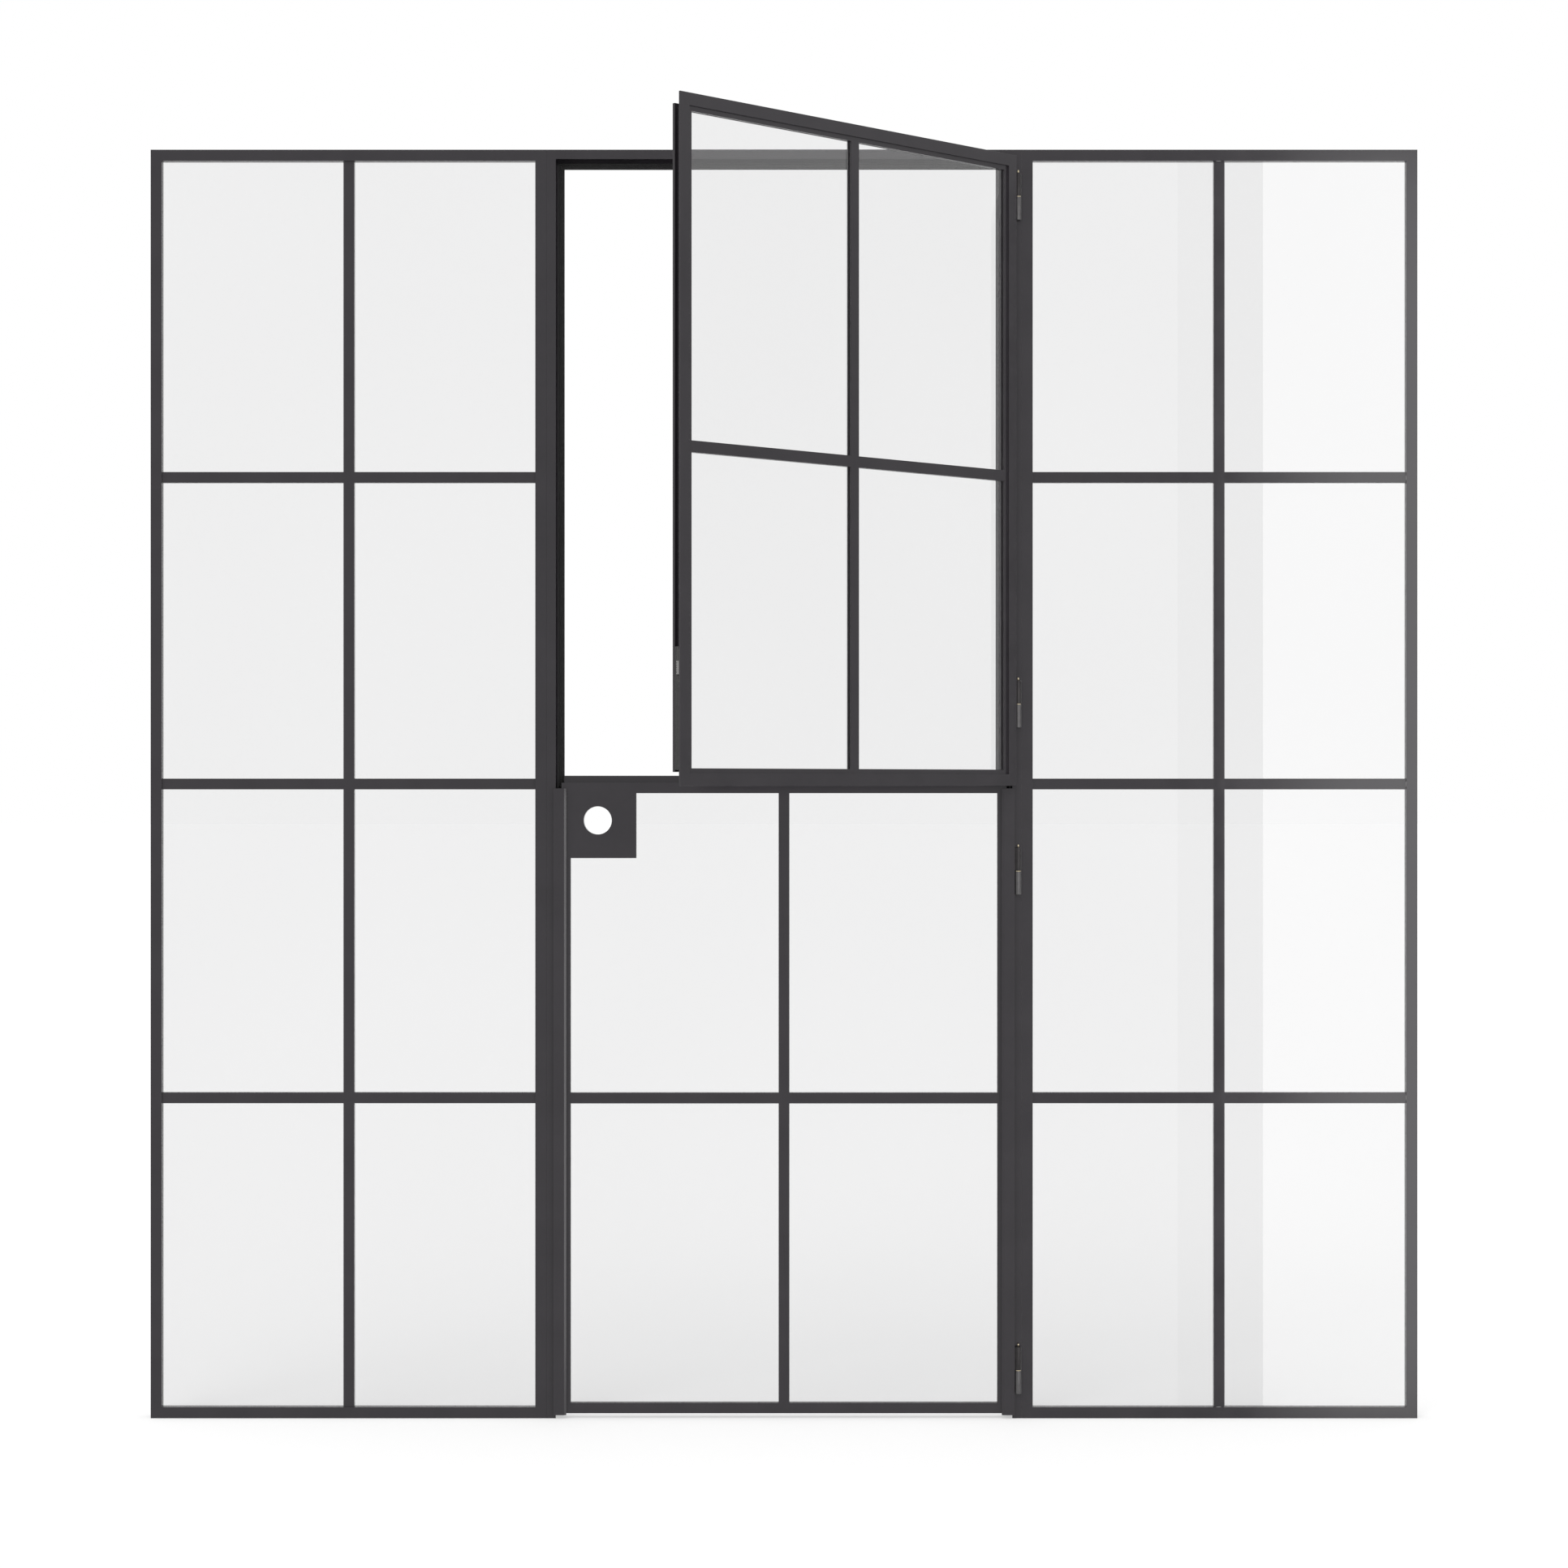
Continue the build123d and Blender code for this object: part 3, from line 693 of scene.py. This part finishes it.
# Slotted countersunk heads at even steps along straight runs, each slot turned its own way
screwHead = {
    "vertices": 16,
    "slotReach": 3.0,
    "seed": 7,
    "sizes": {
        "Spacing": 0.2, "Head Radius": 0.002, "Head Height": 0.0009, "Slot Width": 0.0006,
        "Slot Depth": 0.0003, "Facing": 0.0,
    },
}


def screwTree(plan):
    tree, given = newTree("slottedScrews", plan["sizes"])
    points = evenPoints(tree, given)
    radius, height = given["Head Radius"], given["Head Height"]
    disc = {"Vertices": plan["vertices"], "Radius": radius, "Depth": height}
    head = addNode(tree, "GeometryNodeMeshCylinder", **disc)
    reach = worked(tree, "MULTIPLY", radius, plan["slotReach"])
    size = addNode(tree, "ShaderNodeCombineXYZ", X=reach, Y=given["Slot Width"], Z=height)
    slot = addNode(tree, "GeometryNodeMeshCube", Size=size.outputs["Vector"])
    rise = worked(tree, "SUBTRACT", height, given["Slot Depth"])
    lift = addNode(tree, "ShaderNodeCombineXYZ", Z=rise)
    move = {"Geometry": slot.outputs["Mesh"], "Translation": lift.outputs["Vector"]}
    raised = addNode(tree, "GeometryNodeTransform", **move)
    cut = addNode(tree, "GeometryNodeMeshBoolean", {"operation": "DIFFERENCE"})
    tree.links.new(head.outputs["Mesh"], cut.inputs["Mesh 1"])
    tree.links.new(raised.outputs["Geometry"], cut.inputs["Mesh 2"])
    spin = addNode(tree, "FunctionNodeRandomValue", {"data_type": "FLOAT"}, Seed=plan["seed"])
    spin.inputs[2].default_value = 0.0
    spin.inputs[3].default_value = math.pi
    aim = addNode(tree, "ShaderNodeCombineXYZ", X=-math.pi / 2, Z=given["Facing"])
    tree.links.new(spin.outputs[1], aim.inputs["Y"])
    row = {"Points": points, "Instance": cut.outputs["Mesh"]}
    heads = addNode(tree, "GeometryNodeInstanceOnPoints", **row)
    tree.links.new(aim.outputs["Vector"], heads.inputs["Rotation"])
    endTree(tree, given, heads.outputs["Instances"])
    return tree


screws = screwTree(screwHead)


# Screws that hold the beads, along the middle of each bead's back face
beadScrews = {
    "fromCorner": 0.045,
    "shortestRun": 0.08,
    "beadFlat": 0.0055,
    "backNormal": 0.99,
    "insideBy": 0.0001,
    "headProud": 0.0002,
    "sizes": {"Spacing": 0.2, "Head Radius": 0.0019, "Head Height": 0.0009},
}


def backLoops(nodeName, turn, plan):
    # outlines of the back faces of the beads, outer and inner, always in the order of the mesh
    work = cadCopy(nodeName, turn)
    backs = set(face for face in work.faces if face.normal.y > plan["backNormal"])
    left = [edge for edge in work.edges if len([f for f in edge.link_faces if f in backs]) == 1]
    loops = []
    while left:
        edge = left.pop(0)
        chain = [edge.verts[0], edge.verts[1]]
        while chain[-1] is not chain[0]:
            step = next(e for e in chain[-1].link_edges if e in left)
            left.remove(step)
            chain.append(step.other_vert(chain[-1]))
        loops.append([vert.co.copy() for vert in chain[:-1]])
    work.free()
    return loops


def loopSpan(loop):
    # reach across and reach in height
    return [(min(p[i] for p in loop), max(p[i] for p in loop)) for i in (0, 2)]


def insideAnother(loop, loops, gap):
    (left, right), (low, high) = loopSpan(loop)
    for other in loops:
        (otherLeft, otherRight), (otherLow, otherHigh) = loopSpan(other)
        across = otherLeft < left - gap and otherRight > right + gap
        if across and otherLow < low and otherHigh > high:
            return True
    return False


def screwRuns(nodeName, turn, plan):
    # one run on each side of each bead, set out from the inner outline
    loops = backLoops(nodeName, turn, plan)
    runs = []
    for loop in loops:
        if not insideAnother(loop, loops, plan["insideBy"]):
            continue
        pairs = list(zip(loop, loop[1:] + loop[:1]))
        area = sum(a.x * b.z - b.x * a.z for a, b in pairs)
        for a, b in pairs:
            along = (b - a).normalized()
            if (b - a).length < plan["shortestRun"]:
                continue
            outward = Vector((along.z, 0, -along.x)) * (1 if area > 0 else -1)
            shift = outward * plan["beadFlat"] / 2
            shift.y += plan["headProud"] - plan["sizes"]["Head Height"] / 2
            inset = min(plan["fromCorner"], (b - a).length / 3)
            runs.append((a + along * inset + shift, b - along * inset + shift))
    return runs


def makeBeadScrews(plan):
    for side, body, turn in (
        ("left", "frame", noTurn),
        ("right", "frame", noTurn),
        ("lower", "lower_leaf", noTurn),
        ("upper", "upper_leaf", leafTurn),
    ):
        runs = screwRuns(side + "_beads", turn, plan)
        name = side + "BeadScrews"
        grown(name, runs, screws, plan["sizes"], paint, body, "painted_steel", turn)
        print("bead screws", side, "runs:", len(runs))


makeBeadScrews(beadScrews)


# Two screws hold the plate of the flush bolt, and bare steel lines its slot
slotLiner = {
    "thickness": 0.0002,
    "width": 0.0148,
    "length": 0.061,
    "fromTop": 0.001,
    "sunk": 0.0001,
}


def makeSlotLiner(plan):
    low, high = islandBoxes("flush_bolt_plate", leafTurn)[0]
    middle = (low.y + high.y) / 2
    top = high.z - plan["fromTop"]
    foot = top - plan["length"]
    front, back = middle - plan["width"] / 2, middle + plan["width"] / 2
    wall = plan["thickness"]
    left, right = low.x + plan["sunk"], high.x - plan["sunk"]
    work = bmesh.new()
    addBox(work, Vector((left, back - wall, foot)), Vector((right, back, top)))
    addBox(work, Vector((left, front, foot)), Vector((right, front + wall, top)))
    addBox(work, Vector((left, front + wall, foot)), Vector((right, back - wall, foot + wall)))
    addBox(work, Vector((left, front + wall, top - wall)), Vector((right, back - wall, top)))
    bmesh.ops.recalc_face_normals(work, faces=work.faces)
    mesh = meshFrom("liner", work)
    seated("slotLiner", mesh, "upper_leaf", "bolt_steel", boltSteel, leafTurn)
    print("slot liner made")


makeSlotLiner(slotLiner)

plateScrews = {
    "fromFoot": 0.0077,
    "underSlot": 0.0082,
    "slotLength": 0.062,
    "headProud": 0.0002,
    "sizes": {
        "Head Radius": 0.0028, "Head Height": 0.0012, "Slot Width": 0.0008, "Facing": math.pi / 2,
    },
}


def makePlateScrews(plan):
    low, high = islandBoxes("flush_bolt_plate", leafTurn)[0]
    depth = (low.y + high.y) / 2
    x = low.x - plan["headProud"] + plan["sizes"]["Head Height"] / 2
    first = Vector((x, depth, low.z + plan["fromFoot"]))
    second = Vector((x, depth, high.z - plan["slotLength"] - plan["underSlot"]))
    sizes = {**plan["sizes"], "Spacing": (second - first).length}
    runs = [(first, second)]
    grown("plateScrews", runs, screws, sizes, boltSteel, "upper_leaf", "bolt_steel", leafTurn)
    print("plate screws made")


makePlateScrews(plateScrews)


# Weld ripples along the tongues of the hinges, one flat drop after another
hingeWelds = {
    "fromEnd": 0.004,
    "behindLip": 0.0002,
    "segments": 8,
    "rings": 5,
    "flatness": (0.8, 0.55, 1.0),
    "sizes": {"Spacing": 0.0015, "Drop Radius": 0.0010},
}


def weldTree(plan):
    tree, given = newTree("weldRipples", plan["sizes"])
    points = evenPoints(tree, given)
    ball = {"Segments": plan["segments"], "Rings": plan["rings"], "Radius": given["Drop Radius"]}
    drop = addNode(tree, "GeometryNodeMeshUVSphere", **ball)
    soft = addNode(tree, "GeometryNodeSetShadeSmooth", Geometry=drop.outputs["Mesh"])
    row = {"Points": points, "Instance": soft.outputs["Geometry"], "Scale": plan["flatness"]}
    drops = addNode(tree, "GeometryNodeInstanceOnPoints", **row)
    endTree(tree, given, drops.outputs["Instances"])
    return tree


def makeHingeWelds(plan):
    ripples = weldTree(plan)
    half = hinge["tongueThickness"] / 2
    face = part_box("hinge_jamb")[0].y
    ends = plan["fromEnd"]
    runs = []
    for low, high in islandBoxes("frame_hinge_halves"):
        for x in (pinAxis.x - half, pinAxis.x + half):
            runs.append((Vector((x, face, low.z + ends)), Vector((x, face, high.z - ends))))
    grown("frameHingeWelds", runs, ripples, plan["sizes"], hingeSteel, "frame", "hinge_steel")
    for name, body, turn in (("lower", "lower_leaf", noTurn), ("upper", "upper_leaf", leafTurn)):
        lip = islandBoxes(name + "_hinge_stile", turn)[0]
        x, y = lip[1].x, lip[0].y + plan["behindLip"]
        runs = []
        for low, high in islandBoxes(name + "_hinge_knuckles", turn):
            runs.append((Vector((x, y, low.z + ends)), Vector((x, y, high.z - ends))))
        title = name + "HingeWelds"
        grown(title, runs, ripples, plan["sizes"], knuckleSteel, body, "hinge_steel", turn)
    print("hinge welds made")


makeHingeWelds(hingeWelds)


# Camera where the photograph was taken: square on to the door, level with its middle
camera = {"distance": 6.707, "height": 1.221, "lens": 80.0, "sensor": 36.0, "reach": 200.0}


def makeCamera(plan):
    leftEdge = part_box("left_outer_stile")[0]
    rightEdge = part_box("right_outer_stile")[1]
    data = bpy.data.cameras.new("camera")
    data.lens = plan["lens"]
    data.sensor_width = plan["sensor"]
    data.clip_end = plan["reach"]
    view = bpy.data.objects.new("camera", data)
    bpy.context.scene.collection.objects.link(view)
    view.location = ((leftEdge.x + rightEdge.x) / 2, leftEdge.y - plan["distance"], plan["height"])
    view.rotation_euler = (math.pi / 2, 0, 0)
    bpy.context.scene.camera = view
    return view


view = makeCamera(camera)


# White studio: an even world, a soft sun, and a tall reflector beside the camera, with a grey flag
# at its edge and another beside the door
studio = {
    "ambient": 0.62,
    "floorSize": 200.0,
    "floorColour": (0.80, 0.80, 0.80),
    "floorGlow": 0.48,
    "glowThroughGlass": 0.42,
    "sunFrom": (-0.3, -0.9, 0.8),
    "sunAngle": 30.0,
    "sunStrength": 0.6,
    "cardLeft": 3.066,
    "cardRight": 5.8,
    "cardLow": -1.3,
    "cardHigh": 3.7,
    "cardOnGlass": 1.18,
    "cardOnSteel": 3.2,
    "steelCardShift": 0.11,
    "flagLeft": 2.737,
    "flagGlow": 0.6,
    "sideFlagX": 9.0,
    "sideFlagDepth": (-2.5, 2.0),
    "sideFlagGlow": 0.79,
    "unmirrored": ("rightPanelFrame", "rightPanelBeads", "rightBeadScrews"),
}


def studioWorld(plan):
    # white where it is seen, straight, mirrored or through glass, and dimmer as a light
    world = bpy.data.worlds.new("studio")
    bpy.context.scene.world = world
    world.use_nodes = True
    tree = world.node_tree
    rays = addNode(tree, "ShaderNodeLightPath").outputs
    seen = worked(tree, "MAXIMUM", rays["Is Camera Ray"], rays["Is Glossy Ray"])
    seen = worked(tree, "MAXIMUM", seen, rays["Is Transmission Ray"])
    level = addNode(tree, "ShaderNodeMapRange", Value=seen)
    level.inputs["To Min"].default_value = plan["ambient"]
    level.inputs["To Max"].default_value = 1.0
    back = tree.nodes["Background"]
    back.inputs["Color"].default_value = (1, 1, 1, 1)
    tree.links.new(level.outputs["Result"], back.inputs["Strength"])


def floorMaterial(plan):
    # glows just enough for the camera that lit floor is white, while the shadow on it stays
    material, tree, shader = newMaterial("paleFloor")
    tree.nodes.remove(shader)
    matt = addNode(tree, "ShaderNodeBsdfDiffuse")
    matt.inputs["Color"].default_value = (*plan["floorColour"], 1)
    rays = addNode(tree, "ShaderNodeLightPath").outputs
    straight = worked(tree, "MULTIPLY", rays["Is Camera Ray"], plan["floorGlow"])
    bent = (rays["Is Transmission Ray"], plan["glowThroughGlass"])
    amount = worked(tree, "MULTIPLY_ADD", *bent, straight)
    glow = addNode(tree, "ShaderNodeEmission", Strength=amount)
    both = addNode(tree, "ShaderNodeAddShader")
    tree.links.new(matt.outputs["BSDF"], both.inputs[0])
    tree.links.new(glow.outputs["Emission"], both.inputs[1])
    tree.links.new(both.outputs["Shader"], tree.nodes["Material Output"].inputs["Surface"])
    return material


def flatSheet(name, corners):
    work = bmesh.new()
    work.faces.new([work.verts.new(corner) for corner in corners])
    return linked(name, meshFrom(name, work))


def areaLamp(name, place, aim, width, height, power):
    data = bpy.data.lights.new(name, "AREA")
    data.shape = "RECTANGLE"
    data.size = width
    data.size_y = height
    data.energy = power
    lamp = bpy.data.objects.new(name, data)
    bpy.context.scene.collection.objects.link(lamp)
    lamp.location = place
    lamp.rotation_euler = (Vector(aim) - Vector(place)).to_track_quat("-Z", "Y").to_euler()
    lamp.visible_camera = False
    lamp.visible_transmission = False
    return lamp


def greyFlag(name, corners, glow):
    # only reflections see it
    flag = flatSheet(name, corners)
    material, tree, shader = newMaterial(name)
    tree.nodes.remove(shader)
    dim = addNode(tree, "ShaderNodeEmission", Strength=glow)
    tree.links.new(dim.outputs["Emission"], tree.nodes["Material Output"].inputs["Surface"])
    flag.data.materials.append(material)
    flag.visible_camera = False
    flag.visible_diffuse = False
    flag.visible_transmission = False
    flag.visible_shadow = False
    flag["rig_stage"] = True


def makeStudio(plan):
    studioWorld(plan)
    half = plan["floorSize"] / 2
    left, right = view.location.x - half, view.location.x + half
    corners = [(left, -half, 0), (right, -half, 0), (right, half, 0), (left, half, 0)]
    floor = flatSheet("floor", corners)
    floor.data.materials.append(floorMaterial(plan))
    floor.visible_glossy = False
    floor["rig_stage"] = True

    sun = bpy.data.lights.new("sun", "SUN")
    sun.energy = plan["sunStrength"]
    sun.angle = math.radians(plan["sunAngle"])
    key = bpy.data.objects.new("sun", sun)
    bpy.context.scene.collection.objects.link(key)
    key.rotation_euler = Vector(plan["sunFrom"]).to_track_quat("Z", "Y").to_euler()
    key.visible_glossy = False

    height = plan["cardHigh"] - plan["cardLow"]
    middleHeight = (plan["cardHigh"] + plan["cardLow"]) / 2
    panes = [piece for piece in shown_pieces() if piece.get("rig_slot") == "clear_glass"]
    others = [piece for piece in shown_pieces() if piece not in panes]
    for name, level, start, lit in (
        ("glassCard", "cardOnGlass", plan["cardLeft"], panes),
        ("steelCard", "cardOnSteel", plan["cardLeft"] + plan["steelCardShift"], others),
    ):
        width = plan["cardRight"] - start
        centre = Vector(((start + plan["cardRight"]) / 2, view.location.y, middleHeight))
        power = plan[level] * math.pi * width * height
        card = areaLamp(name, centre, centre + Vector((0, 1, 0)), width, height, power)
        group = bpy.data.collections.new(name)
        for piece in lit:
            group.objects.link(piece)
        card.light_linking.receiver_collection = group

    left, right = plan["flagLeft"], plan["cardLeft"]
    low, high = plan["cardLow"], plan["cardHigh"]
    depth = view.location.y
    corners = [(left, depth, low), (right, depth, low), (right, depth, high), (left, depth, high)]
    greyFlag("edgeFlag", corners, plan["flagGlow"])
    x = plan["sideFlagX"]
    near, far = plan["sideFlagDepth"]
    corners = [(x, near, low), (x, far, low), (x, far, high), (x, near, high)]
    greyFlag("sideFlag", corners, plan["sideFlagGlow"])
    for name in plan["unmirrored"]:
        # keeps the right side panel out of the reflections in the open leaf
        bpy.data.objects[name].visible_glossy = False


makeStudio(studio)
bpy.context.scene.view_settings.view_transform = "Standard"
print("studio made")
